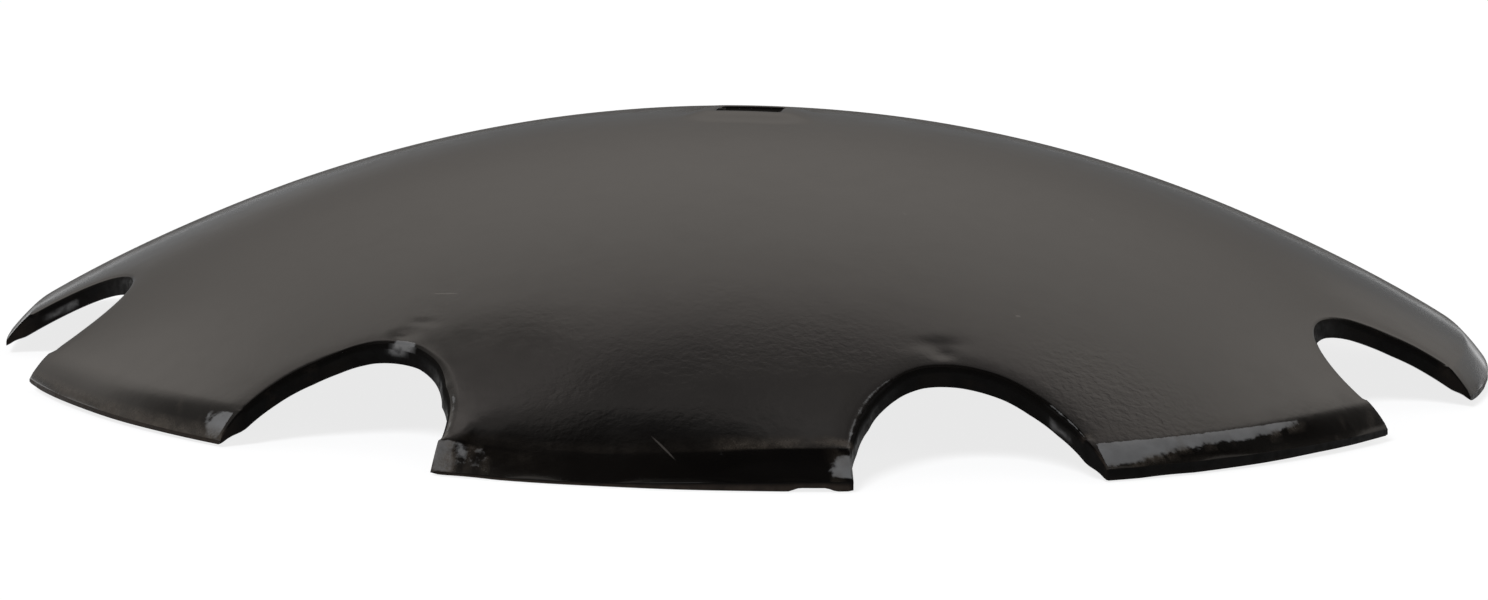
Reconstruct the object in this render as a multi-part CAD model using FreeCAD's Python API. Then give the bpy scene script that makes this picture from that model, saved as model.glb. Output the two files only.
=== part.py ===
import FreeCAD, Part
import math
import os

# Notched harrow disc blade: one piece of sheet steel, pressed to a spherical dish.
# It lies with its hollow side down, on the cutting edges of its teeth.
# The origin is at the centre of the cutting circle, +Z points up along the axle,
# and one tooth is centred on -Y.

# Driving dimensions, in millimetres

# Dish
disc_diameter = 610.0
sheet_thickness = 6.0
hollow_radius = 545.0

# Cutting edge: a bevel ground on the rounded side, down to a blunt land.
# The blank is larger by the grinding margin before that.
bevel_width = 9.5
edge_land = 2.5
grinding_margin = 12.0

# Notches: round-ended cuts in from the rim, punched along the axle
notch_count = 8
notch_radius = 44.5
notch_depth = 48.0
notch_flare_deg = 8.0
notch_edge_round = 1.2

# Square axle hole, and the lip that its punch pushes up around it
axle_hole_side = 27.0
axle_hole_corner = 2.0
lip_height = 2.5
lip_top_width = 3.0
lip_foot_spread = 12.0

# Sizes that follow from these

rim_radius = disc_diameter / 2
outer_radius = hollow_radius + sheet_thickness
dish_centre_z = -math.sqrt(hollow_radius ** 2 - rim_radius ** 2)
apex_z = dish_centre_z + outer_radius
hollow_apex_z = dish_centre_z + hollow_radius
lip_top_z = apex_z + lip_height
crease_radius = rim_radius - bevel_width
notch_centre = rim_radius - notch_depth + notch_radius
blank_radius = rim_radius + grinding_margin
cut_reach = blank_radius + grinding_margin
flare = math.radians(notch_flare_deg)
near = sheet_thickness / 100

DOWN_TO_TOOTH = -90.0
UP = FreeCAD.Vector(0, 0, 1)
ORIGIN = FreeCAD.Vector(0, 0, 0)


def sphere_height(radius, sphere_radius):
    """Height of a dish face at this distance from the axis."""
    return dish_centre_z + math.sqrt(sphere_radius ** 2 - radius ** 2)


# Start and length of the punches, which run along the axle

cut_bottom = sphere_height(blank_radius, hollow_radius) - sheet_thickness
cut_height = lip_top_z + sheet_thickness - cut_bottom


def section_point(radius, height):
    """A point of the section, which lies in the XZ plane."""
    return FreeCAD.Vector(radius, 0, height)


def dish_arc(from_radius, to_radius, sphere_radius):
    """An arc of one dish face, between two distances from the axis."""
    middle_radius = (from_radius + to_radius) / 2
    stops = [from_radius, middle_radius, to_radius]
    points = [section_point(r, sphere_height(r, sphere_radius)) for r in stops]
    return Part.Arc(*points).toShape()


def make_blank():
    """The plain dished blank before its edge is ground, turned from its section."""
    hollow_apex = section_point(0, hollow_apex_z)
    blank_bottom = section_point(blank_radius, sphere_height(blank_radius, hollow_radius))
    blank_top = section_point(blank_radius, sphere_height(blank_radius, outer_radius))
    apex = section_point(0, apex_z)
    outline = [
        dish_arc(0, blank_radius, hollow_radius),
        Part.makeLine(blank_bottom, blank_top),
        dish_arc(blank_radius, 0, outer_radius),
        Part.makeLine(apex, hollow_apex),
    ]
    section = Part.Face(Part.Wire(outline))
    return section.revolve(ORIGIN, UP, 360)


def make_edge_cut():
    """The ring that grinding takes off, down to the bevel and its land."""
    crease = section_point(crease_radius, sphere_height(crease_radius, outer_radius))
    land_top = section_point(rim_radius, edge_land)
    land_foot = section_point(rim_radius, cut_bottom)
    above_crease = crease + (crease - land_top)
    outer_x = rim_radius + 2 * grinding_margin
    outer_foot = section_point(outer_x, cut_bottom)
    outer_top = section_point(outer_x, above_crease.z)
    corners = [above_crease, land_top, land_foot, outer_foot, outer_top, above_crease]
    return Part.Face(Part.makePolygon(corners)).revolve(ORIGIN, UP, 360)


def rounded_square(half_side, corner, height):
    """A square wire with round corners, centred on the axis."""
    flat = half_side - corner
    diagonal = corner * math.sqrt(0.5)
    edges = []
    for turn in range(4):
        line = Part.makeLine(
            FreeCAD.Vector(half_side, -flat, height),
            FreeCAD.Vector(half_side, flat, height),
        )
        arc = Part.Arc(
            FreeCAD.Vector(half_side, flat, height),
            FreeCAD.Vector(flat + diagonal, flat + diagonal, height),
            FreeCAD.Vector(flat, half_side, height),
        ).toShape()
        for edge in (line, arc):
            edge.rotate(ORIGIN, UP, 90 * turn)
            edges.append(edge)
    return Part.Wire(edges)


def make_lip():
    """The low lip around the axle hole, from the middle of the sheet to its flat top."""
    hole_half = axle_hole_side / 2
    top_half = hole_half + lip_top_width
    foot_half = top_half + lip_foot_spread
    top_corner = axle_hole_corner + lip_top_width
    foot_corner = top_corner + lip_foot_spread
    foot = rounded_square(foot_half, foot_corner, apex_z - sheet_thickness / 2)
    top = rounded_square(top_half, top_corner, lip_top_z)
    return Part.makeLoft([foot, top], True, True)


def make_axle_cut():
    """The square punch of the axle hole."""
    outline = rounded_square(axle_hole_side / 2, axle_hole_corner, cut_bottom)
    return Part.Face(outline).extrude(UP * cut_height)


def make_notch_cut(angle):
    """The punch of one notch: a round end, then straight sides that flare out past the rim."""
    side_x = notch_centre - notch_radius * math.sin(flare)
    side_y = notch_radius * math.cos(flare)
    mouth_y = side_y + (cut_reach - side_x) * math.tan(flare)
    side_start = FreeCAD.Vector(side_x, side_y, cut_bottom)
    closed_end = FreeCAD.Vector(notch_centre - notch_radius, 0, cut_bottom)
    side_end = FreeCAD.Vector(side_x, -side_y, cut_bottom)
    mouth_end = FreeCAD.Vector(cut_reach, -mouth_y, cut_bottom)
    mouth_start = FreeCAD.Vector(cut_reach, mouth_y, cut_bottom)
    outline = Part.Wire([
        Part.Arc(side_start, closed_end, side_end).toShape(),
        Part.makeLine(side_end, mouth_end),
        Part.makeLine(mouth_end, mouth_start),
        Part.makeLine(mouth_start, side_start),
    ])
    cut = Part.Face(outline).extrude(UP * cut_height)
    cut.rotate(ORIGIN, UP, angle)
    return cut


def notch_cuts():
    """All notch punches, set so that a tooth is centred on -Y."""
    pitch = 360.0 / notch_count
    return [make_notch_cut(DOWN_TO_TOOTH + pitch * (k + 0.5)) for k in range(notch_count)]


def is_notch_edge(edge):
    """True for the edges where the notch walls meet the rounded side of the dish."""
    middle = edge.valueAt((edge.FirstParameter + edge.LastParameter) / 2)
    radius = math.hypot(middle.x, middle.y)
    in_notch = rim_radius - notch_depth - near < radius < blank_radius - near
    return in_notch and abs(middle.z - sphere_height(radius, outer_radius)) < near


def make_disc_blade():
    """The finished blade: pressed, punched, its notch edges rolled over, then ground."""
    blade = make_blank().fuse(make_lip())
    blade = blade.cut([make_axle_cut()] + notch_cuts())
    blade = blade.removeSplitter()
    rolled = [edge for edge in blade.Edges if is_notch_edge(edge)]
    blade = blade.makeFillet(notch_edge_round, rolled)
    blade = blade.cut(make_edge_cut())
    return blade.Solids[0]


os.makedirs("parts", exist_ok=True)
make_disc_blade().exportStep("parts/disc_blade.step")
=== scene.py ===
import math

import bpy
import numpy as np
from mathutils import Matrix, Vector, noise
from mathutils.geometry import delaunay_2d_cdt


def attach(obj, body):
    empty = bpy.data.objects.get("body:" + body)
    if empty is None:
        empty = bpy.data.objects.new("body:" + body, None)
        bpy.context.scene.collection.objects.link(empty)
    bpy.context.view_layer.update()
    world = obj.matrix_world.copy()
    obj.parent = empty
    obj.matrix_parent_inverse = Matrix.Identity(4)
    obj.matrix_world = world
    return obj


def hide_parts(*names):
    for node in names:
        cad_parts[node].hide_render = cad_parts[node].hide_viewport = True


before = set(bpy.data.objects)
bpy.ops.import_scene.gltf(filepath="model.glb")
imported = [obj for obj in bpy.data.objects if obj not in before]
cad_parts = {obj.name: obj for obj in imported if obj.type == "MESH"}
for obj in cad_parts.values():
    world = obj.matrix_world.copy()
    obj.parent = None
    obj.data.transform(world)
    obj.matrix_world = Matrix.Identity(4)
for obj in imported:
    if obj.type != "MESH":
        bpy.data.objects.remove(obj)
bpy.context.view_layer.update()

MM = 0.001

# Sizes of the blade, in millimetres

RIM = 305.0
HOLLOW_SPHERE = 545.0
OUTER_SPHERE = 551.0
SPHERE_Z = -math.sqrt(HOLLOW_SPHERE ** 2 - RIM ** 2)
NOTCH_RADIUS = 44.5
NOTCH_CENTRE = 301.5
FLARE = math.radians(8)
HOLE_HALF = 13.5
HOLE_CORNER = 2.0

# Where a notch's straight side starts, along and across the notch's axis
SIDE_START = (NOTCH_CENTRE - NOTCH_RADIUS * math.sin(FLARE), NOTCH_RADIUS * math.cos(FLARE))

# Directions of the teeth and notches that the photo shows, in degrees

NOTCHES = 8
PITCH_DEG = 360 / NOTCHES
PITCH = 2 * math.pi / NOTCHES
FRONT_TOOTH, RIGHT_TOOTH, LEFT_TOOTH = -90, -45, -135
SIDE_TOOTH_RIGHT, SIDE_TOOTH_LEFT = 0, 180
LEFT_NOTCH, FRONT_LEFT_NOTCH = -157.5, -112.5
FRONT_RIGHT_NOTCH, RIGHT_NOTCH = -67.5, -22.5
FIRST_NOTCH = math.radians(FRONT_RIGHT_NOTCH)
TOOTH_HALF_DEG = 14.0

# The camera stands this far round the axle from -Y
TURN = math.radians(7.0)

# Noise that several kinds of pale patch share, painted reflections and scuffs: its size, and the
# shift that sets its pattern
PALE_PATCH_EDGE_NOISE = (7, 12.4)
PALE_PATCH_FINE_NOISE = (3, 4.4)


def smooth(t):
    """A soft step from 0 to 1."""
    t = np.clip(t, 0, 1)
    return t * t * (3 - 2 * t)


def rise(value, start, width):
    """A soft step up, from 0 at start to 1 at start + width."""
    return smooth((value - start) / width)


def fall(value, stop, width):
    """A soft step down, from 1 at stop - width to 0 at stop."""
    return smooth((stop - value) / width)


def turn_between(angle, centre):
    """Angle from a centre direction, in degrees, between -180 and 180."""
    return (angle - centre + 180) % 360 - 180


def sphere_height(r, radius):
    """Height of a dish face at this distance from the axis."""
    return SPHERE_Z + np.sqrt(radius ** 2 - r ** 2)


def nearest_notch(x, y):
    """Direction of the nearest notch, in radians."""
    return FIRST_NOTCH + np.round((np.arctan2(y, x) - FIRST_NOTCH) / PITCH) * PITCH


def notch_frame(x, y):
    """Place along and across the axis of the nearest notch."""
    centre = nearest_notch(x, y)
    along = x * np.cos(centre) + y * np.sin(centre)
    across = -x * np.sin(centre) + y * np.cos(centre)
    return along, across


def notch_swing(x, y):
    """The nearest notch's angle, and the angle round its centre from its closed end, in degrees."""
    turns = np.round((np.degrees(np.arctan2(y, x)) - FRONT_RIGHT_NOTCH) / PITCH_DEG)
    along, across = notch_frame(x, y)
    swing = np.degrees(np.arctan2(across, NOTCH_CENTRE - along))
    return FRONT_RIGHT_NOTCH + turns * PITCH_DEG, swing


def notch_distance(x, y):
    """Distance from the nearest notch's edge, positive in the metal."""
    along, across = notch_frame(x, y)
    across = np.abs(across)
    run, beside = along - SIDE_START[0], across - SIDE_START[1]
    past = run * math.cos(FLARE) + beside * math.sin(FLARE)
    side = beside * math.cos(FLARE) - run * math.sin(FLARE)
    ring = np.hypot(along - NOTCH_CENTRE, across) - NOTCH_RADIUS
    return np.where(past > 0, side, ring)


def hole_distance(x, y):
    """Distance from the edge of the square hole, positive in the metal."""
    flat = HOLE_HALF - HOLE_CORNER
    qx, qy = np.abs(x) - flat, np.abs(y) - flat
    outside = np.hypot(np.maximum(qx, 0), np.maximum(qy, 0))
    return outside + np.minimum(np.maximum(qx, qy), 0) - HOLE_CORNER


def field(x, y, size, shift):
    """Smooth noise over the plan, about -1 to 1."""
    return np.array([noise.noise(Vector((a / size + shift, b / size - shift, shift * 0.7))) * 1.6
                     for a, b in zip(x, y)])


# The ground edge differs from tooth to tooth. Each pair is for the two ends of a tooth.

TOOTH_LAND = {FRONT_TOOTH: (1.2, 3.7), RIGHT_TOOTH: (4.4, 3.4), LEFT_TOOTH: (2.2, 1.6)}
PLAIN_LAND = (2.4, 2.7)
TOOTH_CREASE = {
    FRONT_TOOTH: (298.2, 295.2),
    RIGHT_TOOTH: (295.8, 295.2),
    LEFT_TOOTH: (296.4, 297.4),
}
PLAIN_CREASE = (295.8, 295.2)
TOOTH_BULGE = {FRONT_TOOTH: (0.35, 0.35), RIGHT_TOOTH: (0.75, 0.75), LEFT_TOOTH: (0.5, 0.5)}
PLAIN_BULGE = (0.45, 0.45)
CREASE_SOFTNESS = {RIGHT_TOOTH: (0.15, 0.5), LEFT_TOOTH: (2.2, 1.6)}
PLAIN_SOFTNESS = (0.25, 0.25)
LEAST_SOFTNESS = 0.12

# Softness of the front tooth's crease: places along the tooth, and the values there
FRONT_SOFTNESS = (
    (-1.0, -0.93, -0.85, -0.6, -0.2, 0.2, 0.5, 0.7),
    (0.6, 2.5, 7.0, 10.5, 11.5, 7.0, 2.2, 0.15),
)


def along_tooth(x, y):
    """The tooth's centre angle in degrees, and the place along it from -1 to 1."""
    angle = np.degrees(np.arctan2(y, x))
    tooth = np.round(angle / PITCH_DEG) * PITCH_DEG
    return tooth, np.clip((angle - tooth) / TOOTH_HALF_DEG, -1.2, 1.2)


def per_tooth(x, y, table, plain):
    """A value that runs evenly along each tooth, from the table or else the plain one."""
    tooth, place = along_tooth(x, y)
    low = np.full_like(place, plain[0])
    high = np.full_like(place, plain[1])
    for centre, (a, b) in table.items():
        here = np.abs(turn_between(tooth, centre)) < 1
        low[here] = a
        high[here] = b
    return low + (high - low) * (place + 1) / 2


def crease_radius(x, y):
    """Distance from the axis at which the ground bevel starts."""
    return per_tooth(x, y, TOOTH_CREASE, PLAIN_CREASE)


def crease_softness(x, y):
    """Height over which the dome passes into the bevel."""
    tooth, place = along_tooth(x, y)
    plain = np.maximum(per_tooth(x, y, CREASE_SOFTNESS, PLAIN_SOFTNESS), LEAST_SOFTNESS)
    return np.where(tooth == FRONT_TOOTH, np.interp(place, *FRONT_SOFTNESS), plain)


def bevel_height(x, y, r):
    """The ground bevel, as a soft curve from the crease down to the land."""
    land, crease = per_tooth(x, y, TOOTH_LAND, PLAIN_LAND), crease_radius(x, y)
    top = sphere_height(crease, OUTER_SPHERE)
    t = (r - crease) / (RIM - crease)
    line = top + (land - top) * t
    slope = 4 * per_tooth(x, y, TOOTH_BULGE, PLAIN_BULGE)
    return line + np.where(t > 0, slope * t * (1 - t), slope * t)


def across_bevel(x, y):
    """Place across the ground bevel: 0 at the crease, 1 at the land."""
    crease = crease_radius(x, y)
    return (np.hypot(x, y) - crease) / (RIM - crease)


def soft_least(a, b, width):
    """The lower of two heights, with the corner between them rounded."""
    h = np.clip(0.5 + 0.5 * (b - a) / width, 0, 1)
    return b * (1 - h) + a * h - width * h * (1 - h)


# The notch edges were cut unevenly.
# Each table has swings round the notch, and how far the edge stands into the notch there.

NOTCH_PUSH = {
    FRONT_LEFT_NOTCH: (
        (-90, -84, -78, -62, -43, -31, -24, -15, -4, 10, 27, 45, 62, 80),
        (-4.2, -2.0, 0.0, 0.9, 1.1, 0.0, -1.1, -1.8, -1.4, -0.9, 1.4, 4.2, 2.6, 1.9),
    ),
    FRONT_RIGHT_NOTCH: (
        (-84, -76, -68, -50, -34, -19, -7, 12, 32, 45, 61, 78, 84, 90),
        (0.5, 1.4, 2.7, 3.9, 2.6, 1.0, 0.2, 0.0, 0.4, 1.4, 1.2, -0.6, -2.4, -4.4),
    ),
    RIGHT_NOTCH: (
        (-60, -30, 0, 22, 35, 47, 60),
        (0.0, -0.3, -0.3, 0.3, 1.6, 2.6, 1.5),
    ),
}
PLAIN_PUSH = ((-60, -30, 0, 30, 60), (1.3, 0.3, -0.3, 0.3, 1.3))
EDGE_REACH = 7
EDGE_WANDER = 0.28
RIM_GAP = 0.02
RIM_WANDER = 0.25


def notch_push(x, y):
    """How far each notch edge stands into its notch, round the notch."""
    centre, swing = notch_swing(x, y)
    push = np.interp(swing, *PLAIN_PUSH)
    for notch, table in NOTCH_PUSH.items():
        here = np.abs(turn_between(centre, notch)) < 1
        push = np.where(here, np.interp(swing, *table), push)
    return push


def wander(x, y):
    """The plan moved sideways near the edges, which were cut and ground by hand."""
    to_notch = notch_distance(x, y)
    near_notch = smooth(1 - to_notch / EDGE_REACH)
    near_rim = smooth(1 - (RIM - np.hypot(x, y)) / EDGE_REACH)
    weight = np.maximum(near_notch, near_rim)
    dx = EDGE_WANDER * field(x, y, 26, 1.3) * weight
    dy = EDGE_WANDER * field(x, y, 26, 5.9) * weight
    push = notch_push(x, y)
    push = push * np.where(push > 0, smooth(1 - to_notch / 2.6), smooth(1 - to_notch / 8))
    centre = nearest_notch(x, y)
    to_x, to_y = NOTCH_CENTRE * np.cos(centre) - x, NOTCH_CENTRE * np.sin(centre) - y
    reach = np.hypot(to_x, to_y)
    new_x, new_y = x + dx + push * to_x / reach, y + dy + push * to_y / reach
    r = np.hypot(new_x, new_y)
    limit = RIM - RIM_GAP - RIM_WANDER * (0.5 + 0.5 * field(x, y, 40, 9.2)) * near_rim
    squeeze = np.where(r > limit, limit / np.maximum(r, 1), 1.0)
    return new_x * squeeze, new_y * squeeze


# The rounded side falls towards the notches: it sags a little, and its edge is rolled over.
# The roll is deeper where the edge stands into the notch, and slight where it was ground.

ROLL = 1.9
ROLL_ON_BEVEL = 0.28
ROLL_PER_PUSH = 0.22
MOST_PUSH = 4
SAG = 0.45
SAG_REACH = 9
SAG_LEFT_OUT = 0.38


def notch_falls(x, y, r, to_notch):
    """How far the rounded side falls at the notches, by the rolled edge and by the sag."""
    ground = rise(r - crease_radius(x, y), -2.0, 2.5)
    roll = ROLL * (1 - ground) + ROLL_ON_BEVEL * ground
    drop = roll * (1 + ROLL_PER_PUSH * np.clip(notch_push(x, y), 0, MOST_PUSH))
    inside = np.clip(1 - to_notch / roll, 0, 1)
    rolled = drop * (1 - np.sqrt(1 - inside ** 2))
    notch, swing = notch_swing(x, y)
    flat_part = np.where(notch == FRONT_LEFT_NOTCH, rise(swing, 12, 14) * fall(swing, 66, 14), 0.0)
    sag = np.clip(1 - to_notch / SAG_REACH, 0, 1) ** 2
    return rolled, (SAG - SAG_LEFT_OUT * flat_part) * sag * (1 - ground)


# The lip round the hole, which is lower on the side away from the camera

LIP = 2.40
LIP_TOP_WIDTH = 2.4
LIP_SPREAD = 13.5
LIP_UNEVEN = 0.25
HOLE_ROUND = 0.8
FAR_HOLE_ROUND = 1.5
HOLE_AREA = 60


def lip_and_edge(x, y, r):
    """Height of the lip round the hole, and how far the hole's rounded edge falls."""
    from_hole = hole_distance(x, y)
    away = (x * math.sin(-TURN) + y * math.cos(TURN)) / HOLE_HALF
    uneven = 1 - LIP_UNEVEN * np.clip(away, -0.2, 1.6) * fall(r, 40, 15)
    lip = LIP * uneven * (1 - rise(from_hole, LIP_TOP_WIDTH, LIP_SPREAD))
    edge = HOLE_ROUND + FAR_HOLE_ROUND * rise(away, 0.2, 0.6)
    round_in = np.clip(edge - from_hole, 0, edge)
    rounded = edge - np.sqrt(np.maximum(edge ** 2 - round_in ** 2, 0))
    return lip, np.where(r < HOLE_AREA, rounded, 0.0)


# Dents: angle, distance from the axis, half sizes across and along the radius, depth
DENTS = (
    (-66.7, 245.1, 8.4, 3.4, 0.44),
    (-66.6, 250.2, 4.4, 2.9, 0.58),
    (-113.0, 251.0, 5.0, 3.0, 0.46),
    (-112.4, 243.0, 5.0, 1.7, 0.24),
)


def dent(x, y, angle, radius, across, along, depth):
    """A shallow dent at one place, wider across than along the radius."""
    a = math.radians(angle)
    px, py = x - radius * math.cos(a), y - radius * math.sin(a)
    u = (px * math.cos(a) + py * math.sin(a)) / along
    v = (-px * math.sin(a) + py * math.cos(a)) / across
    return -depth * np.exp(-(u * u + v * v))


def metal_waves(x, y):
    """Slight waves of the pressed sheet, and the dents that the photo shows."""
    waves = 0.10 * field(x, y, 95, 3.1) + 0.028 * field(x, y, 30, 7.7)
    total = waves * rise(np.hypot(x, y), 40, 60)
    for row in DENTS:
        total += dent(x, y, *row)
    return total


# Heights by which the blade's sides are bent up, and its lower edge is ground up and chipped.
# The chip's place is in degrees.

SIDE_BEND = 2.6
EDGE_LIFT = {
    RIGHT_TOOTH: ((-0.4, 0.0, 0.4, 0.8), (0.0, 0.1, 0.5, 0.7)),
    LEFT_TOOTH: ((-1.0, -0.8), (0.4, 0.0)),
}
CHIP = 1.25
CHIP_FROM, CHIP_TO = -80.3, -76.9
CHIP_SOFT_END = 0.9
LOWER_EDGE_REACH = 2.2
BURR = 1.3
BURR_REACH = 6
EASED_EDGE = 0.4


def side_bend(x, y):
    """How far the blade's sides are bent up, seen from the camera."""
    side = np.abs(x * math.cos(TURN) + y * math.sin(TURN)) / RIM
    return SIDE_BEND * side ** 2.5 * rise(np.hypot(x, y), 210, 95)


def edge_lift(x, y):
    """How far the lower edges of two teeth are ground up."""
    tooth, place = along_tooth(x, y)
    lift = np.zeros_like(x)
    for centre, table in EDGE_LIFT.items():
        lift = np.where(tooth == centre, np.interp(place, *table), lift)
    return lift * np.exp((np.hypot(x, y) - RIM) / LOWER_EDGE_REACH)


def chip(x, y):
    """The chip in the lower edge of the front tooth."""
    angle = np.degrees(np.arctan2(y, x))
    across = rise(angle, CHIP_FROM, CHIP_SOFT_END) * fall(angle, CHIP_TO, CHIP_SOFT_END)
    return CHIP * across * np.exp((np.hypot(x, y) - RIM) / LOWER_EDGE_REACH)


def outer_points(plan_x, plan_y):
    """Points of the rounded side."""
    x, y = wander(plan_x, plan_y)
    r, plan_r = np.hypot(x, y), np.hypot(plan_x, plan_y)
    dome = sphere_height(r, OUTER_SPHERE) + metal_waves(plan_x, plan_y)
    bevel = bevel_height(plan_x, plan_y, plan_r)
    height = soft_least(dome, bevel, crease_softness(plan_x, plan_y))
    rolled, sag = notch_falls(plan_x, plan_y, plan_r, notch_distance(plan_x, plan_y))
    lip, rounded = lip_and_edge(plan_x, plan_y, r)
    z = height - rolled - sag + lip - rounded
    return np.stack([x, y, z + side_bend(x, y)], 1)


def inner_points(plan_x, plan_y):
    """Points of the hollow side."""
    x, y = wander(plan_x, plan_y)
    r = np.hypot(x, y)
    to_notch = notch_distance(plan_x, plan_y)
    waves = metal_waves(plan_x, plan_y) * fall(r, RIM, 25)
    edge = np.minimum(to_notch, hole_distance(plan_x, plan_y))
    eased = np.clip(EASED_EDGE - edge, 0, EASED_EDGE)
    burr = BURR * smooth(1 - to_notch / BURR_REACH) * fall(r, RIM - 3, 6)
    z = sphere_height(r, HOLLOW_SPHERE) + waves + eased * 0.8 - burr + chip(plan_x, plan_y)
    z = np.maximum(z + edge_lift(plan_x, plan_y), 0.0)
    return np.stack([x, y, z + side_bend(x, y)], 1)


# Plan of the blade: outline, rings beside the edges, and an even fill.
# Offsets are distances from the edge, and all sizes are in millimetres.

EDGE_STEP = 1.6
DENT_STEP = 1.5
DENT_ROW = 1.3
EVEN_ROW = 0.866
HOLE_SIDE_POINTS = 14
HOLE_CORNER_POINTS = 7
OUTER_PLAN = {
    "notch_offsets": (0.12, 0.35, 0.7, 1.1, 1.5, 1.9, 2.6, 3.8, 5.6, 8.2),
    "rim_offsets": (0.3, 1.8, 3.4, 5.0, 6.4, 7.4, 8.3, 9.0, 9.5, 10.2, 12.5, 16.0),
    "hole_offsets": (0.2, 0.5, 0.8, 1.6, 2.6, 4, 6, 8.5, 11.5, 15, 19),
    "dents": DENTS,
    "fill": 5.5,
}
INNER_PLAN = {
    "notch_offsets": (0.2, 0.4, 1.2, 4.0),
    "rim_offsets": (0.5, 1.5, 4.0),
    "hole_offsets": (0.4, 2.0),
    "dents": (),
    "fill": 8.0,
}


def corner_place():
    """Where a notch's straight side meets the rim, along and across its axis."""
    run = 0.0
    for _ in range(40):
        point = (SIDE_START[0] + run * math.cos(FLARE), SIDE_START[1] + run * math.sin(FLARE))
        run += RIM - math.hypot(*point)
    return point


def notch_line(offset, step):
    """Points along one notch edge, moved into the metal by offset, in the notch's frame."""
    corner = corner_place()
    length = math.hypot(corner[0] - SIDE_START[0], corner[1] - SIDE_START[1])
    side_count = max(2, round(length / step))
    half = []
    for k in range(side_count, 0, -1):
        run = length * k / side_count
        half.append((SIDE_START[0] + run * math.cos(FLARE) - offset * math.sin(FLARE),
                     SIDE_START[1] + run * math.sin(FLARE) + offset * math.cos(FLARE)))
    sweep = math.pi - 2 * FLARE
    count = round(NOTCH_RADIUS * sweep / step)
    arc = []
    for k in range(count + 1):
        a = math.pi / 2 + FLARE + sweep * k / count
        arc.append((NOTCH_CENTRE + (NOTCH_RADIUS + offset) * math.cos(a),
                    (NOTCH_RADIUS + offset) * math.sin(a)))
    other = [(along, -across) for along, across in reversed(half)]
    return half + arc + other


def turned(points, angle):
    """The points turned round the axis."""
    c, s = math.cos(angle), math.sin(angle)
    return [(a * c - b * s, a * s + b * c) for a, b in points]


def tooth_line(index, offset, step):
    """Points along one tooth's rim, moved inwards by offset, without its corners."""
    corner = corner_place()
    half_mouth = math.atan2(corner[1], corner[0])
    start = FIRST_NOTCH + PITCH * index + half_mouth
    sweep = PITCH - 2 * half_mouth
    count = round(RIM * sweep / step)
    radius = RIM - offset
    angles = [start + sweep * k / count for k in range(1, count)]
    return [(radius * math.cos(a), radius * math.sin(a)) for a in angles]


def blade_outline():
    """The closed outline, and for each point whether it is on the rim."""
    points, on_rim = [], []
    for k in range(NOTCHES):
        notch = turned(list(reversed(notch_line(0, EDGE_STEP))), FIRST_NOTCH + PITCH * k)
        tooth = tooth_line(k, 0, EDGE_STEP)
        points += notch + tooth
        on_rim += [False] * len(notch) + [True] * len(tooth)
    return points, on_rim


def hole_line(offset):
    """The rounded square around the hole, moved into the metal by offset."""
    flat = HOLE_HALF - HOLE_CORNER
    reach = HOLE_CORNER + offset
    quarter = []
    for k in range(HOLE_SIDE_POINTS):
        quarter.append((flat + reach, -flat + 2 * flat * k / HOLE_SIDE_POINTS))
    for k in range(HOLE_CORNER_POINTS):
        a = math.pi / 2 * k / HOLE_CORNER_POINTS
        quarter.append((flat + reach * math.cos(a), flat + reach * math.sin(a)))
    return [point for turn in range(4) for point in turned(quarter, turn * math.pi / 2)]


def ring_points(notch_offsets, rim_offsets, hole_offsets):
    """Points beside the rim, the notches and the hole, spaced wider further in."""
    rings = []
    for offset in rim_offsets:
        for k in range(NOTCHES):
            rings += tooth_line(k, offset, EDGE_STEP if offset < 12 else EDGE_STEP * 2)
    for offset in notch_offsets:
        line = notch_line(offset, EDGE_STEP if offset < 5 else EDGE_STEP * 1.8)
        for k in range(NOTCHES):
            rings += turned(line, FIRST_NOTCH + PITCH * k)
    for offset in hole_offsets:
        rings += hole_line(offset)
    return rings


def dent_grid(angle, radius, across):
    """Close points over one dent."""
    cx, cy = radius * math.cos(math.radians(angle)), radius * math.sin(math.radians(angle))
    cells = int(across * 1.8 / DENT_STEP)
    return [(cx + DENT_STEP * (i + 0.5 * (j % 2)), cy + DENT_ROW * j)
            for i in range(-cells, cells + 1) for j in range(-cells, cells + 1)]


def even_grid(fill):
    """Points of even triangles over the whole disc."""
    rows = int(RIM / (fill * EVEN_ROW)) + 1
    columns = int(RIM / fill) + 1
    points = []
    for row in range(-rows, rows + 1):
        shift = fill / 2 if row % 2 else 0
        points += [(k * fill + shift, row * fill * EVEN_ROW) for k in range(-columns, columns + 1)]
    return points


def keep_clear(points, near_edge):
    """Drops the points that aren't in the metal, or lie too near its edges."""
    points = np.array(points)
    x, y = points[:, 0], points[:, 1]
    least = np.minimum(notch_distance(x, y), RIM - np.hypot(x, y))
    least = np.minimum(least, hole_distance(x, y))
    return [tuple(p) for p in points[least > near_edge]]


def thin_out(points, fixed, closeness):
    """Drops points that lie too close to an earlier one."""
    grid = {}
    for p in fixed:
        grid.setdefault((int(p[0] // closeness), int(p[1] // closeness)), []).append(p)
    kept = []
    for p in points:
        cx, cy = int(p[0] // closeness), int(p[1] // closeness)
        near = [q for i in (cx - 1, cx, cx + 1) for j in (cy - 1, cy, cy + 1)
                for q in grid.get((i, j), ())]
        if all((p[0] - q[0]) ** 2 + (p[1] - q[1]) ** 2 >= closeness ** 2 for q in near):
            kept.append(p)
            grid.setdefault((cx, cy), []).append(p)
    return kept


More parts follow.
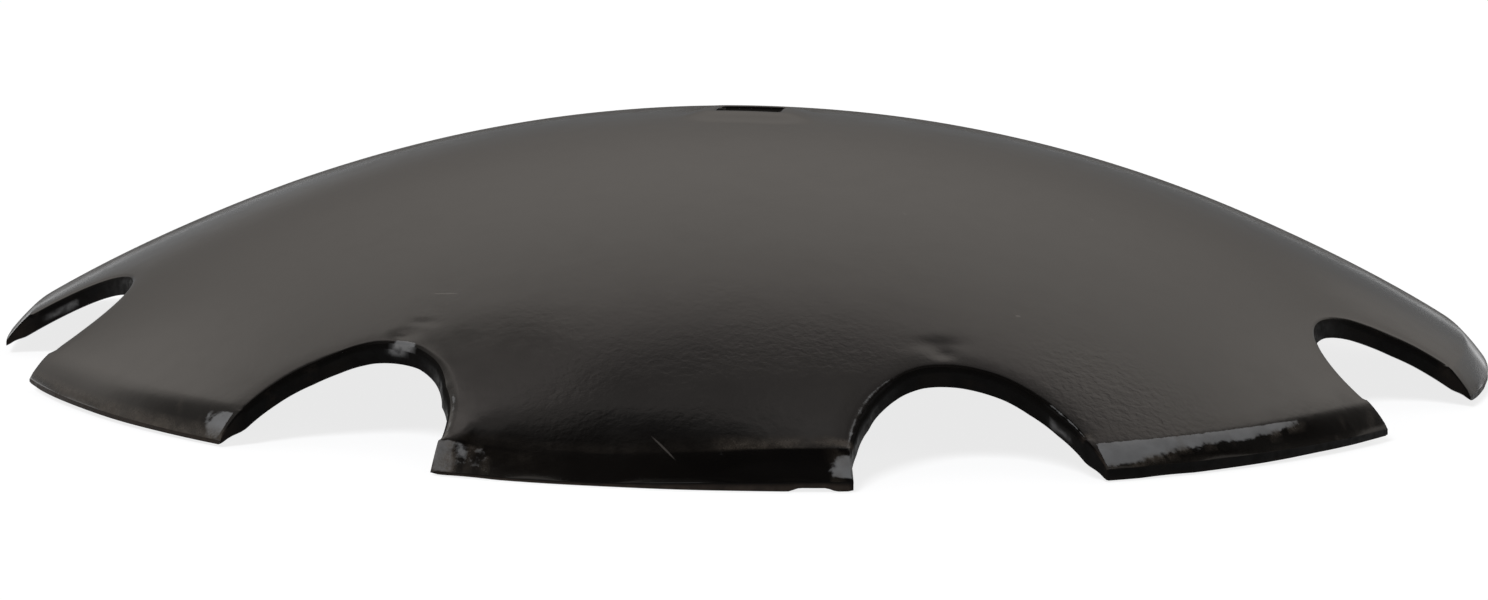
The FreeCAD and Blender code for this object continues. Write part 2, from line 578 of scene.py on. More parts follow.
def blade_plan(outline, hole, notch_offsets, rim_offsets, hole_offsets, dents, fill):
    """The plan as triangles: its points, which start with the outline and hole, and its faces."""
    edge_points = outline + hole
    rings = ring_points(notch_offsets, rim_offsets, hole_offsets)
    fine = thin_out(keep_clear(rings, 0.04), edge_points, 0.05)
    for angle, radius, across, _, _ in dents:
        fine += thin_out(keep_clear(dent_grid(angle, radius, across), 2.5), fine, 1.0)
    coarse = thin_out(keep_clear(even_grid(fill), 3.0), edge_points + fine, fill * 0.62)
    first = len(outline)
    edges = [(k, (k + 1) % first) for k in range(first)]
    edges += [(first + k, first + (k + 1) % len(hole)) for k in range(len(hole))]
    points = [Vector(p) for p in edge_points + fine + coarse]
    result = delaunay_2d_cdt(points, edges, [], 0, 1e-7)
    vertices = np.array([tuple(v) for v in result[0]])
    faces = np.array([f for f in result[2] if len(f) == 3])
    x, y = vertices[faces].mean(1).T
    inside = (notch_distance(x, y) > 0) & (np.hypot(x, y) < RIM) & (hole_distance(x, y) > 0)
    return vertices, faces[inside]


# Wear, and pale patches that are painted reflections, as shares from 0 to 1.
# t is the place across the ground bevel, and place is the place along a tooth.

# Lower edge of the right tooth's pale band, a painted reflection: places along the tooth, and
# places across its bevel
REFLECTION_BAND_LIMIT = ((-1.05, -0.75, -0.5, 0.1, 0.35, 0.5), (1.1, 0.85, 0.62, 0.50, 0.36, 0.0))


def reflection_band_limit(x, y, place):
    """Lower edge of the pale band on the right tooth, a painted reflection, across its bevel."""
    limit = np.interp(place, *REFLECTION_BAND_LIMIT)
    return limit + 0.05 * field(x, y, *PALE_PATCH_EDGE_NOISE) + 0.03 * field(x, y, *PALE_PATCH_FINE_NOISE)


def front_end_reflections(place, t, uneven, fine):
    """Painted reflections as pale patches at the two ends of the front tooth, mottled at the left
    one.
    """
    left_end = fall(place, 0.03 * uneven - 0.90, 0.07)
    mottled = fall(place, 0.05 * uneven - 0.73, 0.10) * (0.47 + 0.10 * fine) * fall(t, 0.92, 0.15)
    right_end = rise(place, 0.87 - 0.03 * uneven, 0.10) * rise(t, 0.10, 0.3) * fall(t, 0.96, 0.06)
    return (np.maximum(left_end, mottled) + right_end) * 0.9


def right_band_reflection(place, t, to_notch, uneven, limit):
    """The pale band along the right tooth, a painted reflection of bluish light."""
    band = smooth((limit - t) / 0.34 + 0.5) * fall(place, 0.50, 0.34)
    band = band * rise(t, 0.13 - 0.03 * uneven, 0.06)
    return band * rise(to_notch, 3.4 * (1 - t) - 0.4 * uneven, 0.7)


def left_end_reflection(place, t, to_notch, uneven):
    """The pale right end of the left tooth, a painted reflection."""
    return rise(place, 0.80 - 0.05 * uneven - 0.03 * t, 0.09) * rise(to_notch, 2.2, 1.5) * 0.8


def reflections_and_scuffs(x, y):
    """Share of pale patches on the bevels and at their ends: painted reflections, some rubbed
    paint, and a painted highlight line along the notch edges.
    """
    tooth, place = along_tooth(x, y)
    notch, swing = notch_swing(x, y)
    to_notch = notch_distance(x, y)
    t = across_bevel(x, y)
    uneven = field(x, y, *PALE_PATCH_EDGE_NOISE)
    fine = field(x, y, *PALE_PATCH_FINE_NOISE)
    front, right, left = tooth == FRONT_TOOTH, tooth == RIGHT_TOOTH, tooth == LEFT_TOOTH
    side = (tooth == SIDE_TOOTH_RIGHT) | (np.abs(tooth) == SIDE_TOOTH_LEFT)
    pale_patches = rise(field(x, y, 42, 8.8), 0.25, 0.4) * smooth((0.75 + 0.1 * fine - t) / 0.2) * 0.62
    share = np.where(side, 0.0, pale_patches)
    share = np.where(front, front_end_reflections(place, t, uneven, fine), share)
    limit = reflection_band_limit(x, y, place)
    share = np.where(right, right_band_reflection(place, t, to_notch, uneven, limit), share)
    share = np.where(left, left_end_reflection(place, t, to_notch, uneven), share)
    share = share * rise(t, np.where(front, -0.02, 0.05), 0.10) * fall(t, 1.02, 0.10)
    worn_roll = rise(swing, -7, 3) * fall(swing, 8, 4) * fall(to_notch, 2.6, 0.8)
    share = np.where(notch == FRONT_LEFT_NOTCH, np.maximum(worn_roll, share), share)
    at_front_right = notch == FRONT_RIGHT_NOTCH
    around = np.where(at_front_right, fall(swing, -20, 8) + rise(swing, 50, 6), 0.0)
    around = np.where(notch == FRONT_LEFT_NOTCH, rise(swing, 48, 8), around)
    # A painted highlight: a thin light line along the rolled notch edges
    line = np.exp(-((to_notch - 1.1) / 0.25) ** 2) * around * fall(t, 0.1, 0.2)
    return np.maximum(share, np.where(at_front_right, 0.50, 0.46) * line)


def land_and_crease_dust(tooth, place, t, above, patchy):
    """Dust along the land, and in a strip above the crease."""
    front, right, left = tooth == FRONT_TOOTH, tooth == RIGHT_TOOTH, tooth == LEFT_TOOTH
    land = rise(t, 0.9, 0.08) * (0.45 + 0.35 * patchy)
    land = land * np.where(right, 0.2, np.where(front, 0.0, 1.0))
    land += np.where(left, rise(t, 0.58, 0.3) * (0.8 + 0.2 * patchy), 0.0)
    front_strength = 0.12 + 0.5 * rise(place, 0.3, 0.15) + 0.25 * rise(place, 0.75, 0.15)
    strip = rise(above, 0.3, 0.8) * fall(above, 4.8, 1.6)
    return land + strip * np.where(front, front_strength, 0.22 * patchy)


def bevel_dust(tooth, place, t, uneven, patchy):
    """Blotches of dust on the bevels, most of them at the ends of the front tooth."""
    blotch = fall(place, 0.08 * uneven - 0.72, 0.1) * rise(uneven, -0.4, 0.6) * 0.8
    blotch += rise(place, 0.86, 0.08) * rise(uneven, -0.3, 0.5) * 0.45
    blotch += fall(place, -0.25, 0.5) * (0.16 + 0.05 * uneven)
    plain = 0.3 * rise(uneven * patchy, 0.25, 0.3)
    return np.where(tooth == FRONT_TOOTH, blotch, plain) * rise(t, -0.1, 0.2)


def right_dust(place, t, to_notch, uneven, limit):
    """Dust under the right tooth's pale band, which is a painted reflection, and at its torn left
    end.
    """
    under_band = np.exp(-((t - limit - 0.05) / 0.10) ** 2) * fall(place, 0.5, 0.2)
    torn_end = fall(to_notch, 3.8 * (1.1 - t), 0.8) * rise(t, -0.4, 0.2) * smooth(-place)
    return (under_band * rise(uneven, -0.3, 0.5) * 0.9
            + torn_end * rise(uneven, -0.5, 0.7) * 0.55)


def grime(x, y):
    """Share of brownish dust on the rounded side, along the land, the crease and the bevels."""
    tooth, place = along_tooth(x, y)
    t = across_bevel(x, y)
    above = crease_radius(x, y) - np.hypot(x, y)
    uneven = field(x, y, 5, 2.6)
    patchy = 0.5 + 0.5 * field(x, y, 24, 6.1)
    limit = reflection_band_limit(x, y, place)
    dust = land_and_crease_dust(tooth, place, t, above, patchy)
    dust = dust + bevel_dust(tooth, place, t, uneven, patchy)
    at_right = right_dust(place, t, notch_distance(x, y), uneven, limit)
    return np.clip(dust + np.where(tooth == RIGHT_TOOTH, at_right, 0.0), 0, 1)


# Spots of strong orange peel: place on the plan, reach and strength
PEEL_SPOTS = (
    (168, -222, 28, 1.0),
    (150, -215, 16, 0.6),
    (-25, -272, 30, 0.35),
    (20, -262, 26, 0.35),
    (60, -240, 22, 0.35),
)


def peel_spots(x, y):
    """Where the paint's orange peel is strongest."""
    spots = 0
    for px, py, reach, share in PEEL_SPOTS:
        spots = spots + share * np.exp(-((x - px) ** 2 + (y - py) ** 2) / reach ** 2)
    return np.clip(spots, 0, 1)


# Rows of points on the cut walls, as shares of the way down
WALL_SHARES = (0.08, 0.3, 0.55, 0.8, 0.94)
HOLE_WALL_SHARES = (0.2, 0.5, 0.8)


def wall_grime(x, y, on_rim):
    """Share of brownish dust on the cut walls and the land, one row for each of their shares."""
    tooth, _ = along_tooth(x, y)
    notch, swing = notch_swing(x, y)
    patchy = 0.5 + 0.5 * field(x, y, 14, 9.4)
    at_ends = 0.4 * rise(np.abs(swing), 72, 8) * np.where(notch == RIGHT_NOTCH, 0.2, 1.0)
    in_notch = rise(patchy, 0.55, 0.3) * (0.08 + at_ends)
    left = 0.75 + 0.25 * patchy
    rows = []
    for share in WALL_SHARES:
        low = rise(share, 0.45, 0.4)
        front = rise(share, 0.1, 0.4) * (0.7 + 0.3 * patchy)
        right = 0.15 * low * patchy
        row = 0.45 * patchy + 0.2 * low
        for direction, value in ((FRONT_TOOTH, front), (RIGHT_TOOTH, right), (LEFT_TOOTH, left)):
            row = np.where(tooth == direction, value, row)
        rows.append(np.where(on_rim, row, in_notch))
    return np.array(rows)


# Pale places on the notch walls, painted highlights mixed with rubbed paint: notch angle, swing
# from and to, share of the wall's height, half height, strength
WALL_HIGHLIGHTS_AND_RUBS = (
    (FRONT_LEFT_NOTCH, -9, 4, 0.0, 0.36, 0.8),
    (FRONT_RIGHT_NOTCH, 56, 70, 0.55, 0.2, 0.6),
    (LEFT_NOTCH, -70, -48, 0.5, 0.22, 0.6),
)


def wall_highlights_and_rubs(x, y, on_rim):
    """Share of pale paint on the cut walls, painted highlights mixed with rubbing, one row for each
    of their shares.
    """
    notch, swing = notch_swing(x, y)
    uneven = field(x, y, 5, 3.3)
    rows = []
    for share in WALL_SHARES:
        row = np.zeros_like(x)
        for centre, start, stop, middle, half, strength in WALL_HIGHLIGHTS_AND_RUBS:
            ends = smooth((swing - start + 2 * uneven) / 4)
            ends = ends * smooth((stop - swing + 2 * uneven) / 4)
            deep = smooth(1.5 - abs(share - middle) / half + 0.3 * uneven)
            row += np.where(notch == centre, strength * ends * deep, 0.0)
        rows.append(np.where(on_rim, 0.0, row))
    return np.array(rows)


def inner_grime(x, y):
    """Share of dust on the hollow side, thicker towards the rim."""
    return 0.10 + 0.25 * rise(np.hypot(x, y), 230, 75) * (0.6 + 0.4 * field(x, y, 30, 5.2))


# The mesh

SHARP_ANGLE = math.radians(42)
CUT_EDGE = 0.7
WALL_ROUGHNESS = 0.10
HOLE_ROUGHNESS = 0.08


def wall_rows(top, bottom, shares, roughness, shift):
    """Rows of points from a top edge down to a bottom edge, with an uneven face between them."""
    along = np.roll(top, -1, 0) - np.roll(top, 1, 0)
    normal = np.stack([along[:, 1], -along[:, 0], np.zeros(len(along))], 1)
    normal /= np.maximum(np.linalg.norm(normal, axis=1, keepdims=True), 1e-9)
    rows = []
    for share in shares:
        row = top * (1 - share) + bottom * share
        bump = field(row[:, 0] + row[:, 2] * 2.5, row[:, 1] + row[:, 2] * 2.5, 5.0, shift)
        ease = 4 * share * (1 - share)
        rows.append(row + normal * (roughness * bump * ease)[:, None])
    return rows


def grid_faces(rows, count):
    """Quads between the rows of a closed strip. Each row lists the indices of its points."""
    faces = []
    for upper, lower in zip(rows[:-1], rows[1:]):
        for k in range(count):
            n = (k + 1) % count
            faces.append((upper[k], lower[k], lower[n], upper[n]))
    return faces


def keep_rim_sharp(mesh, on_rim):
    """Marks the edge between the bevel and the land as sharp."""
    ends = np.zeros(len(mesh.edges) * 2, dtype=np.int32)
    mesh.edges.foreach_get("vertices", ends)
    ends = ends.reshape(-1, 2)
    rim = np.zeros(len(mesh.vertices), dtype=bool)
    rim[:len(on_rim)] = on_rim
    sharp = mesh.attributes["sharp_edge"]
    values = np.zeros(len(mesh.edges), dtype=bool)
    sharp.data.foreach_get("value", values)
    sharp.data.foreach_set("value", values | rim[ends].all(1))


def build_blade():
    """The painted blade as one closed mesh: two sides, and the walls and the land between them."""
    outline, on_rim = blade_outline()
    hole = hole_line(0)
    top_plan, top_faces = blade_plan(outline, hole, **OUTER_PLAN)
    low_plan, low_faces = blade_plan(outline, hole, **INNER_PLAN)
    top_x, top_y = top_plan.T
    low_x, low_y = low_plan.T
    edge_x, edge_y = top_x[:len(outline)], top_y[:len(outline)]
    top = outer_points(top_x, top_y)
    low = inner_points(low_x, low_y)
    low_start, wall_start = len(top), len(top) + len(low)
    points = [top, low]
    faces = [tuple(f) for f in top_faces]
    faces += [tuple(low_start + f[::-1]) for f in low_faces]
    middle_x, middle_y = top_plan[top_faces].mean(1).T
    kinds = [int(cut) for cut in notch_distance(middle_x, middle_y) < CUT_EDGE]
    kinds += [0] * len(low_faces)

    def add_wall(first, count, shares, roughness, shift, flip):
        """Joins the two sides by a wall, along one closed edge."""
        stop = first + count
        rows = [list(range(first, stop))]
        for row in wall_rows(top[first:stop], low[first:stop], shares, roughness, shift):
            start = sum(len(part) for part in points)
            points.append(row)
            rows.append(list(range(start, start + count)))
        rows.append(list(range(low_start + first, low_start + stop)))
        wall = grid_faces(rows, count)
        faces.extend(face[::-1] if flip else face for face in wall)
        kinds.extend([1] * len(wall))

    add_wall(0, len(outline), WALL_SHARES, WALL_ROUGHNESS, 2.2, False)
    add_wall(len(outline), len(hole), HOLE_WALL_SHARES, HOLE_ROUGHNESS, 4.4, True)
    places = np.concatenate(points) * MM
    mesh = bpy.data.meshes.new("painted_blade")
    mesh.from_pydata([tuple(p) for p in places], [], faces)

    # The first layer holds pale patches that are painted reflections and highlights, mixed with
    # scuffed paint.
    reflection_and_scuff, grimy, peeled = (np.zeros(len(places)) for _ in range(3))
    reflection_and_scuff[:low_start] = reflections_and_scuffs(top_x, top_y)
    grimy[:low_start] = grime(top_x, top_y)
    peeled[:low_start] = peel_spots(top_x, top_y)
    grimy[low_start:wall_start] = inner_grime(low_x, low_y)
    outline_walls = slice(wall_start, wall_start + len(outline) * len(WALL_SHARES))
    grimy[outline_walls] = wall_grime(edge_x, edge_y, on_rim).ravel()
    reflection_and_scuff[outline_walls] = wall_highlights_and_rubs(edge_x, edge_y, on_rim).ravel()
    for name, values in (("reflection_and_scuff", reflection_and_scuff), ("grimy", grimy), ("peeled", peeled)):
        layer = mesh.attributes.new(name, "FLOAT", "POINT")
        layer.data.foreach_set("value", np.clip(values, 0, 1).astype(np.float32))

    mesh.polygons.foreach_set("material_index", kinds)
    mesh.polygons.foreach_set("use_smooth", [True] * len(mesh.polygons))
    mesh.set_sharp_from_angle(angle=SHARP_ANGLE)
    keep_rim_sharp(mesh, on_rim)
    blade = bpy.data.objects.new("painted_blade", mesh)
    bpy.context.scene.collection.objects.link(blade)
    return blade


# Materials


def new_material(name):
    """A material without nodes, and its node tree."""
    material = bpy.data.materials.new(name)
    material.use_nodes = True
    tree = material.node_tree
    tree.nodes.clear()
    return material, tree


def principled(tree):
    """The Principled shader of a material, linked to its output."""
    output = tree.nodes.new("ShaderNodeOutputMaterial")
    shader = tree.nodes.new("ShaderNodeBsdfPrincipled")
    tree.links.new(shader.outputs[0], output.inputs[0])
    return shader


def put(links, socket, value):
    """Links an output to a socket, or writes a plain value there."""
    if isinstance(value, bpy.types.NodeSocket):
        links.new(value, socket)
    else:
        socket.default_value = value


def calculate(tree, operation, first, second):
    """The result of a Math node."""
    node = tree.nodes.new("ShaderNodeMath")
    node.operation = operation
    put(tree.links, node.inputs[0], first)
    put(tree.links, node.inputs[1], second)
    return node.outputs[0]


def plus(tree, first, second):
    return calculate(tree, "ADD", first, second)


def minus(tree, first, second):
    return calculate(tree, "SUBTRACT", first, second)


def times(tree, first, second):
    return calculate(tree, "MULTIPLY", first, second)


def soft_range(tree, value, start, stop, low=0.0, high=1.0):
    """A value that passes softly from low at start to high at stop."""
    node = tree.nodes.new("ShaderNodeMapRange")
    node.interpolation_type = "SMOOTHSTEP"
    put(tree.links, node.inputs["Value"], value)
    limits = {"From Min": start, "From Max": stop, "To Min": low, "To Max": high}
    for name, number in limits.items():
        node.inputs[name].default_value = number
    return node.outputs["Result"]


def blend(tree, share, first, second):
    """A colour between two others."""
    node = tree.nodes.new("ShaderNodeMix")
    node.data_type = "RGBA"
    put(tree.links, node.inputs[0], share)
    put(tree.links, node.inputs[6], first)
    put(tree.links, node.inputs[7], second)
    return node.outputs[2]


def speckle(tree, place, scale, detail, roughness=0.5, distortion=0.0):
    """Noise over the blade. scale is in spots per metre."""
    node = tree.nodes.new("ShaderNodeTexNoise")
    tree.links.new(place, node.inputs["Vector"])
    node.inputs["Scale"].default_value = scale
    node.inputs["Detail"].default_value = detail
    node.inputs["Roughness"].default_value = roughness
    node.inputs["Distortion"].default_value = distortion
    return node.outputs[0]


def layer_value(tree, name):
    """One of the mesh's layers of wear."""
    node = tree.nodes.new("ShaderNodeAttribute")
    node.attribute_name = name
    return node.outputs["Fac"]


def object_place(tree):
    """The place on the blade, in metres."""
    return tree.nodes.new("ShaderNodeTexCoord").outputs["Object"]


def roughen(tree, shader, height, strength):
    """Bump on a shader, from a height in metres."""
    bump = tree.nodes.new("ShaderNodeBump")
    bump.inputs["Strength"].default_value = strength
    bump.inputs["Distance"].default_value = 1.0
    tree.links.new(height, bump.inputs["Height"])
    tree.links.new(bump.outputs[0], shader.inputs["Normal"])


def mark(tree, place, centre, toward, half_length, half_width):
    """A soft spot or scratch on the plan: 1 in its middle, 0 outside. Sizes in millimetres."""
    size = math.hypot(*toward)
    along = (toward[0] / size, toward[1] / size, 0)
    across = (-along[1], along[0], 0)
    squares = []
    for axis, half in ((along, half_length), (across, half_width)):
        node = tree.nodes.new("ShaderNodeVectorMath")
        node.operation = "DOT_PRODUCT"
        tree.links.new(place, node.inputs[0])
        node.inputs[1].default_value = axis
        offset = (centre[0] * axis[0] + centre[1] * axis[1]) * MM
        share = calculate(tree, "DIVIDE", minus(tree, node.outputs["Value"], offset), half * MM)
        squares.append(times(tree, share, share))
    return soft_range(tree, plus(tree, squares[0], squares[1]), 1.0, 0.3)


# Marks on the rounded side: centre and direction on the plan, half length and half width
PALE_MARKS = (
    ((7.0, -294.0), (11.0, -9.3), 7.2, 0.4),
    ((-87.7, -207.5), (11.9, -2.9), 6.5, 0.5),
    ((146.0, -92.8), (1, 0), 0.9, 0.8),
    ((124.1, -195.1), (1, 0.3), 1.2, 0.8),
    ((76.4, -135.0), (1, 0), 0.8, 0.8),
)

# Colours, each as a darker and a paler one where two are blended
PAINT_COLOURS = (0.0026, 0.0023, 0.0022, 1), (0.0042, 0.0037, 0.0034, 1)
DUST_COLOURS = (0.036, 0.029, 0.023, 1), (0.060, 0.051, 0.042, 1)
# Pale bluish grey for painted reflections on the bevels, mixed with scuffed paint
REFLECTION_AND_SCUFF_COLOURS = (0.114, 0.118, 0.124, 1), (0.150, 0.156, 0.164, 1)
PALE_MARK = (0.07, 0.066, 0.062, 1)
WALL_PAINT = (0.0024, 0.0022, 0.0021, 1)
WALL_DUST = (0.040, 0.032, 0.027, 1)
# Pale grey on the walls: painted highlights mixed with rubbed paint
WALL_HIGHLIGHT_AND_RUB = (0.150, 0.152, 0.156, 1)
FLOOR_COLOUR = (0.27, 0.278, 0.29, 1)
FLOOR_GLOW = 0.80

# Heights of the bump, in metres
PEEL_HEIGHT = 5e-5
WAVE_HEIGHT = 5e-5
REFLECTION_AND_SCUFF_HEIGHT = 1.5e-5
TORN_HEIGHT = 1.2e-4


def paint_material():
    """Glossy black paint with orange peel, some dust, and pale patches on the ground bevel that are
    painted reflections mixed with scuffed paint.
    """
    material, tree = new_material("black_paint")
    shader = principled(tree)
    place = object_place(tree)
    broad = speckle(tree, place, 22, 3)
    medium = speckle(tree, place, 95, 3)
    fine = speckle(tree, place, 420, 2)
    grain = speckle(tree, place, 1400, 2)

    # Pale patches: painted reflections and highlights, mixed with scuffed paint
    ragged_reflection_and_scuff = layer_value(tree, "reflection_and_scuff")
    for pattern, strength in ((medium, 0.7), (fine, 0.9)):
        ragged_reflection_and_scuff = plus(tree, ragged_reflection_and_scuff, times(tree, minus(tree, pattern, 0.5), strength))
    reflection_and_scuff_share = soft_range(tree, ragged_reflection_and_scuff, 0.28, 0.74)
    dusty = times(tree, layer_value(tree, "grimy"), soft_range(tree, medium, 0.25, 0.7, 0.35, 1.0))
    dusty = times(tree, dusty, soft_range(tree, grain, 0.3, 0.7, 0.6, 1.0))

    paint = blend(tree, soft_range(tree, broad, 0.35, 0.7), *PAINT_COLOURS)
    dust = blend(tree, soft_range(tree, fine, 0.35, 0.65), *DUST_COLOURS)
    reflection_and_scuff_colour = blend(tree, soft_range(tree, medium, 0.3, 0.7), *REFLECTION_AND_SCUFF_COLOURS)
    colour = blend(tree, reflection_and_scuff_share, paint, reflection_and_scuff_colour)
    colour = blend(tree, dusty, colour, dust)
    for centre, toward, half_length, half_width in PALE_MARKS:
        spot = mark(tree, place, centre, toward, half_length, half_width)
        colour = blend(tree, times(tree, spot, 0.6), colour, PALE_MARK)
    tree.links.new(colour, shader.inputs["Base Color"])

    facing = tree.nodes.new("ShaderNodeLayerWeight")
    facing.inputs["Blend"].default_value = 0.5
    rough = soft_range(tree, broad, 0.3, 0.7, 0.12, 0.17)
    rough = plus(tree, rough, soft_range(tree, medium, 0.35, 0.7, 0.0, 0.04))
    rough = plus(tree, rough, times(tree, reflection_and_scuff_share, 0.22))
    rough = plus(tree, rough, times(tree, dusty, 0.30))
    haze = soft_range(tree, facing.outputs["Facing"], 0.90, 0.97, 0.0, 0.26)
    tree.links.new(plus(tree, rough, haze), shader.inputs["Roughness"])
    shader.inputs["IOR"].default_value = 1.5

    peel = speckle(tree, place, 360, 2, 0.5, 0.3)
    peel_share = times(tree, layer_value(tree, "peeled"), 3.0)
    peel_share = plus(tree, soft_range(tree, broad, 0.4, 0.65, 0.2, 0.9), peel_share)
    height = times(tree, times(tree, peel, peel_share), PEEL_HEIGHT)
    height = plus(tree, height, times(tree, medium, WAVE_HEIGHT))
    height = plus(tree, height, times(tree, times(tree, grain, reflection_and_scuff_share), REFLECTION_AND_SCUFF_HEIGHT))
    roughen(tree, shader, height, 1.0)
    return material


def wall_material():
    """The same paint on the rough punched walls, where it shows no gloss."""
    material, tree = new_material("black_paint_on_cut_walls")
    shader = principled(tree)
    place = object_place(tree)
    torn = speckle(tree, place, 260, 4, 0.6)
    patches = speckle(tree, place, 60, 2)
    bare = times(tree, soft_range(tree, patches, 0.55, 0.75), soft_range(tree, torn, 0.4, 0.65))
    dusty = times(tree, layer_value(tree, "grimy"), soft_range(tree, torn, 0.3, 0.7, 0.5, 1.0))
    dusty = calculate(tree, "MAXIMUM", dusty, times(tree, bare, 0.2))
    # Pale places: painted highlights mixed with rubbed paint
    pale_patches = times(tree, layer_value(tree, "reflection_and_scuff"), soft_range(tree, torn, 0.3, 0.6, 0.4, 1.0))
    colour = blend(tree, dusty, WALL_PAINT, WALL_DUST)
    colour = blend(tree, pale_patches, colour, WALL_HIGHLIGHT_AND_RUB)
    tree.links.new(colour, shader.inputs["Base Color"])
    tree.links.new(soft_range(tree, torn, 0.3, 0.7, 0.38, 0.62), shader.inputs["Roughness"])
    shader.inputs["Specular IOR Level"].default_value = 0.05
    roughen(tree, shader, times(tree, torn, TORN_HEIGHT), 0.7)
    return material


def floor_material():
    """A pale floor that takes shadows, and shows white to the camera and in reflections."""
    material, tree = new_material("pale_floor")
    nodes, links = tree.nodes, tree.links
    output = nodes.new("ShaderNodeOutputMaterial")
    diffuse = nodes.new("ShaderNodeBsdfDiffuse")
    diffuse.inputs["Color"].default_value = FLOOR_COLOUR
    glow = nodes.new("ShaderNodeEmission")
    path = nodes.new("ShaderNodeLightPath").outputs
    seen = calculate(tree, "MAXIMUM", path["Is Camera Ray"], path["Is Glossy Ray"])
    seen = calculate(tree, "MAXIMUM", seen, path["Is Transmission Ray"])
    links.new(times(tree, seen, FLOOR_GLOW), glow.inputs["Strength"])
    both = nodes.new("ShaderNodeAddShader")
    links.new(diffuse.outputs[0], both.inputs[0])
    links.new(glow.outputs[0], both.inputs[1])
    links.new(both.outputs[0], output.inputs[0])
    return material


# Studio

FLOOR_RADIUS = 9
FLOOR_DROP = 0.0002

# Sky by the height of the direction: height from 0 to 1, level, tint
SKY = (
    (0.00, 0.190, (0.98, 1.0, 1.03)),
    (0.10, 0.195, (1.0, 1.0, 1.0)),
    (0.20, 0.225, (1.06, 1.0, 0.94)),
    (0.30, 0.300, (1.07, 1.0, 0.93)),
    (0.42, 0.450, (1.07, 1.0, 0.93)),
    (0.57, 0.660, (1.07, 1.0, 0.93)),
    (0.70, 0.820, (1.07, 1.0, 0.93)),
    (0.79, 0.840, (1.08, 1.0, 0.93)),
    (0.835, 0.700, (1.09, 1.0, 0.94)),
    (0.865, 0.490, (1.09, 1.0, 0.95)),
    (0.905, 0.215, (1.08, 1.0, 0.96)),
    (0.925, 0.265, (1.08, 1.0, 0.96)),
    (0.943, 0.390, (1.08, 1.0, 0.95)),
    (0.958, 0.300, (1.06, 1.0, 0.96)),
    (0.972, 0.080, (1.0, 1.0, 1.0)),
    (1.00, 0.050, (1.0, 1.0, 1.0)),
)

# Places of the sky that are darker or brighter: direction in the camera's frame (right, away, up),
# inner and outer angle in degrees, and the level there
SKY_PATCHES = (
    ((0.0, -0.326, 0.945), 20, 34, 0.08),
    ((0.684, 0.4525, 0.5727), 9, 16, 0.10),
    ((0.62, -0.13, 0.77), 14, 24, 0.10),
    ((0.70, 0.18, 0.69), 12, 22, 0.10),
    ((-0.68, 0.20, 0.70), 10, 26, 0.25),
    ((-0.42, -0.28, 0.86), 15, 27, 0.12),
    ((-0.27, 0.96, 0.03), 5, 12, 1.4),
    ((0.0, -0.80, 0.60), 14, 24, 0.10),
    ((0.80, 0.50, 0.35), 22, 33, 1.35),
    ((-0.80, 0.50, 0.35), 22, 33, 1.45),
    ((0.42, 0.89, 0.17), 4, 10, 1.45),
    ((-0.265, 0.495, 0.828), 2.5, 7, 0.36),
    ((-0.275, 0.40, 0.874), 3, 8, 2.1),
    ((0.09, 0.30, 0.95), 2, 6, 1.5),
)

# The lamp: degrees round from the camera, to its left, and degrees up, strength, spread, colour
FRONT_LAMP = {
    "azimuth": -35,
    "elevation": 50,
    "strength": 2.1,
    "spread": 25,
    "colour": (1.0, 0.99, 0.98),
}

# The camera, fitted to the photo: angles in degrees, place in millimetres before the turn
CAMERA_PITCH = 8.642
CAMERA_ROLL = 0.942
CAMERA_PLACE = (-1.5, -1780.5, 291.6)
FOCAL_PIXELS = 4323
PHOTO_WIDTH = 1488
SENSOR_WIDTH = 36


def build_floor():
    """A wide round floor just under the teeth."""
    mesh = bpy.data.meshes.new("floor")
    angles = [math.radians(a) for a in range(0, 360, 5)]
    ring = [(FLOOR_RADIUS * math.cos(a), FLOOR_RADIUS * math.sin(a), -FLOOR_DROP) for a in angles]
    mesh.from_pydata(ring, [], [tuple(range(len(ring)))])
    floor = bpy.data.objects.new("floor", mesh)
    bpy.context.scene.collection.objects.link(floor)
    mesh.materials.append(floor_material())


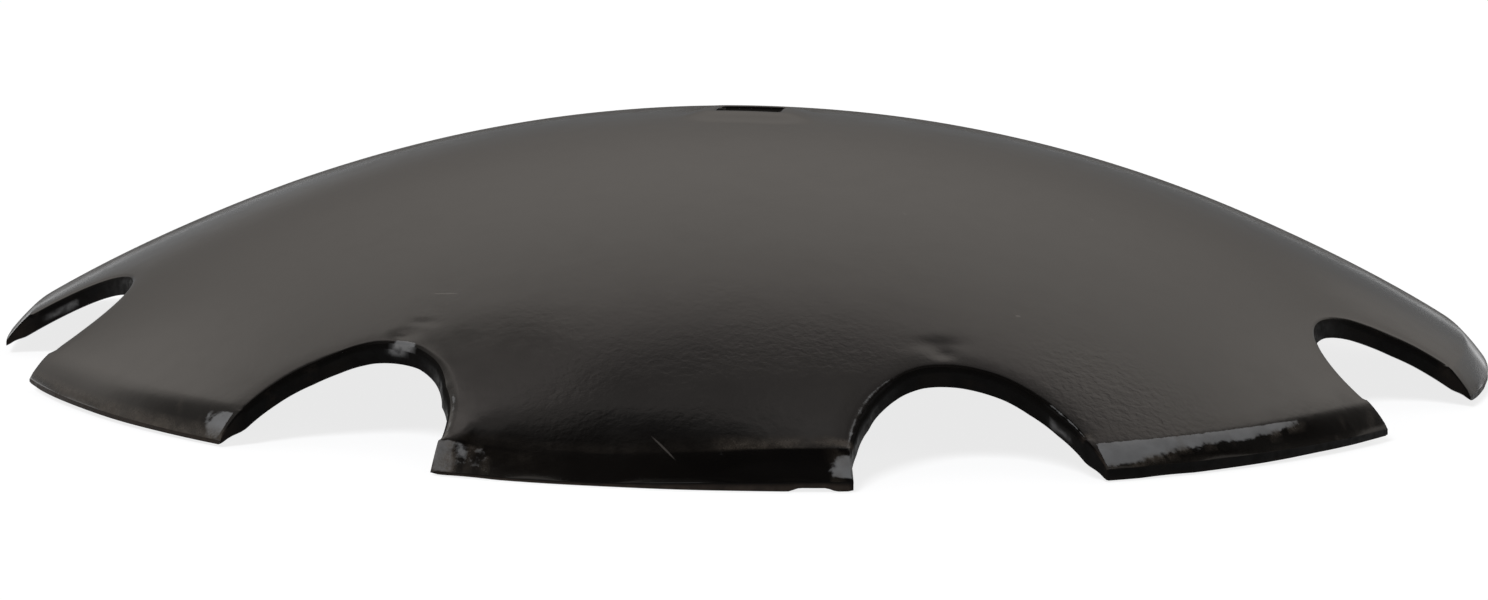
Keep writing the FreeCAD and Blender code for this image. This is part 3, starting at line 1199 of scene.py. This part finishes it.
def build_world():
    """Soft studio light: brightest in a ring over halfway up, dim at the horizon and overhead."""
    world = bpy.data.worlds.new("studio")
    bpy.context.scene.world = world
    world.use_nodes = True
    tree = world.node_tree
    nodes, links = tree.nodes, tree.links
    nodes.clear()
    output = nodes.new("ShaderNodeOutputWorld")
    background = nodes.new("ShaderNodeBackground")
    direction = nodes.new("ShaderNodeTexCoord").outputs["Generated"]
    split = nodes.new("ShaderNodeSeparateXYZ")
    ramp = nodes.new("ShaderNodeValToRGB")
    links.new(direction, split.inputs[0])
    links.new(split.outputs["Z"], ramp.inputs["Fac"])
    links.new(ramp.outputs["Color"], background.inputs["Color"])
    turn = Matrix.Rotation(TURN, 3, "Z")
    strength = 1.0
    for toward, inner, outer, level in SKY_PATCHES:
        nearness = nodes.new("ShaderNodeVectorMath")
        nearness.operation = "DOT_PRODUCT"
        links.new(direction, nearness.inputs[0])
        nearness.inputs[1].default_value = turn @ Vector(toward).normalized()
        start, stop = math.cos(math.radians(outer)), math.cos(math.radians(inner))
        share = soft_range(tree, nearness.outputs["Value"], start, stop, 1.0, level)
        strength = times(tree, share, strength)
    links.new(strength, background.inputs["Strength"])
    links.new(background.outputs[0], output.inputs[0])
    stops = ramp.color_ramp.elements
    for k, (place, level, tint) in enumerate(SKY):
        stop = stops[k] if k < 2 else stops.new(place)
        stop.position = place
        stop.color = (level * tint[0], level * tint[1], level * tint[2], 1)


def add_sun(name, azimuth, elevation, strength, spread, colour):
    """A soft distant lamp. azimuth 0 is behind the camera, 90 right of it, 180 past the blade."""
    a, e = math.radians(azimuth), math.radians(elevation)
    toward = Vector((math.cos(e) * math.sin(a), -math.cos(e) * math.cos(a), math.sin(e)))
    toward = Matrix.Rotation(TURN, 3, "Z") @ toward
    lamp = bpy.data.lights.new(name, "SUN")
    lamp.energy = strength
    lamp.angle = math.radians(spread)
    lamp.color = colour
    obj = bpy.data.objects.new(name, lamp)
    obj.rotation_euler = toward.to_track_quat("Z", "Y").to_euler()
    bpy.context.scene.collection.objects.link(obj)
    return obj


def build_camera():
    """The camera at the photo's place."""
    pitch, roll = math.radians(CAMERA_PITCH), math.radians(CAMERA_ROLL)
    forward = Vector((0, math.cos(pitch), -math.sin(pitch)))
    right = Vector((1, 0, 0))
    up = right.cross(forward)
    tilted_right = right * math.cos(roll) + up * math.sin(roll)
    tilted_up = -right * math.sin(roll) + up * math.cos(roll)
    turn = Matrix.Rotation(TURN, 3, "Z")
    axes = [turn @ v for v in (tilted_right, tilted_up, -forward)]
    place = turn @ Vector(CAMERA_PLACE) * MM
    data = bpy.data.cameras.new("camera")
    data.sensor_width = SENSOR_WIDTH
    data.lens = FOCAL_PIXELS / PHOTO_WIDTH * SENSOR_WIDTH
    data.clip_end = 100
    camera = bpy.data.objects.new("camera", data)
    matrix = Matrix.Identity(4)
    for k in range(3):
        for row in range(3):
            matrix[row][k] = axes[k][row]
        matrix[k][3] = place[k]
    camera.matrix_world = matrix
    bpy.context.scene.collection.objects.link(camera)
    bpy.context.scene.camera = camera


blade = build_blade()
blade.data.materials.append(paint_material())
blade.data.materials.append(wall_material())
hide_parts("disc_blade")
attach(blade, "root")
build_floor()
build_world()
front_lamp = add_sun("front_lamp", **FRONT_LAMP)
front_lamp.visible_glossy = False
build_camera()
bpy.context.scene.view_settings.view_transform = "Standard"
